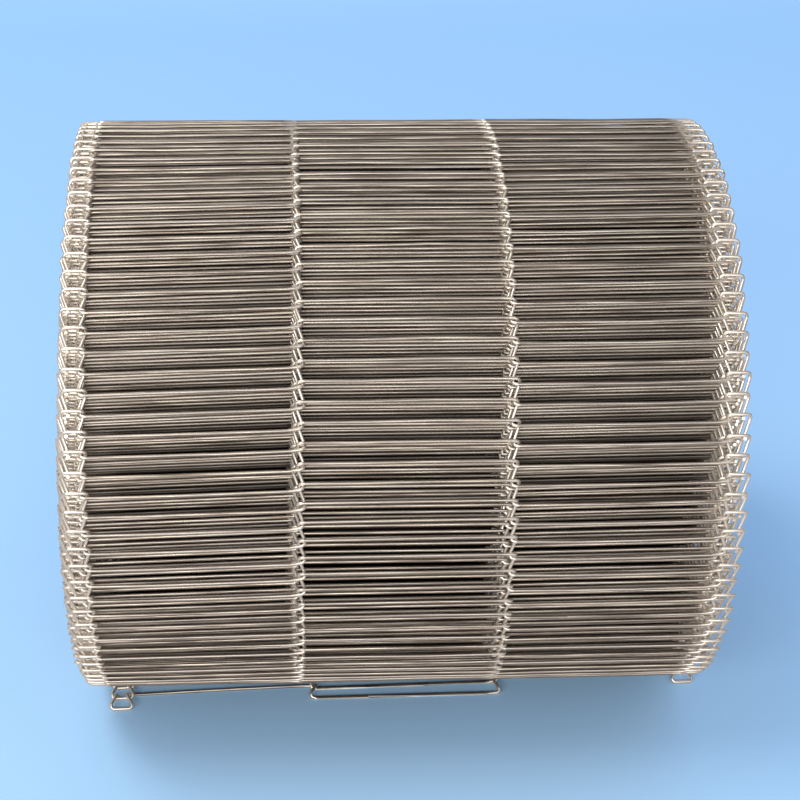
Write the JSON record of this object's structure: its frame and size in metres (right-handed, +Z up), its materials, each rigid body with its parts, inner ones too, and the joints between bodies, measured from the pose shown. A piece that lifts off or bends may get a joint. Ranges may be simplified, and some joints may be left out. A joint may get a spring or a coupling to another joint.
{
  "type": "roll of wire mesh conveyor belt",
  "caption": "Roll of flat flat-flex wire conveyor belting, lying on its side with its free end running out on the floor; last strands hinge.",
  "frame": {"origin": "on the floor, under the middle of the whole part from side to side and under the axis of the roll", "axes": "+X along the roll, -Y towards the free end, +Z up"},
  "size_m": [0.252, 0.2266, 0.2294],
  "materials": {
    "belt_wire": "bright drawn stainless wire"
  },
  "bodies": {
    "roll": {"rolled_belt": "belt_wire", "tail_strand_1": "belt_wire", "tail_strand_2": "belt_wire", "tail_strand_3": "belt_wire", "tail_strand_4": "belt_wire", "tail_strand_5": "belt_wire", "tail_strand_6": "belt_wire"},
    "next_to_last_strand": {"tail_strand_7": "belt_wire"},
    "last_strand": {"tail_strand_8": "belt_wire"}
  },
  "joints": [
    {"name": "next_to_last_strand_hinge", "type": "hinge", "parent": "roll", "child": "next_to_last_strand", "pos_m": [0.004, -0.02946, 0.00064], "axis": [-0.9989, -0.0471, 0], "range_deg": [-3, 6]},
    {"name": "last_strand_hinge", "type": "hinge", "parent": "next_to_last_strand", "child": "last_strand", "pos_m": [0.004, -0.03673, 0.00064], "axis": [-0.9989, -0.0471, 0], "range_deg": [-3, 24]}
  ]
}
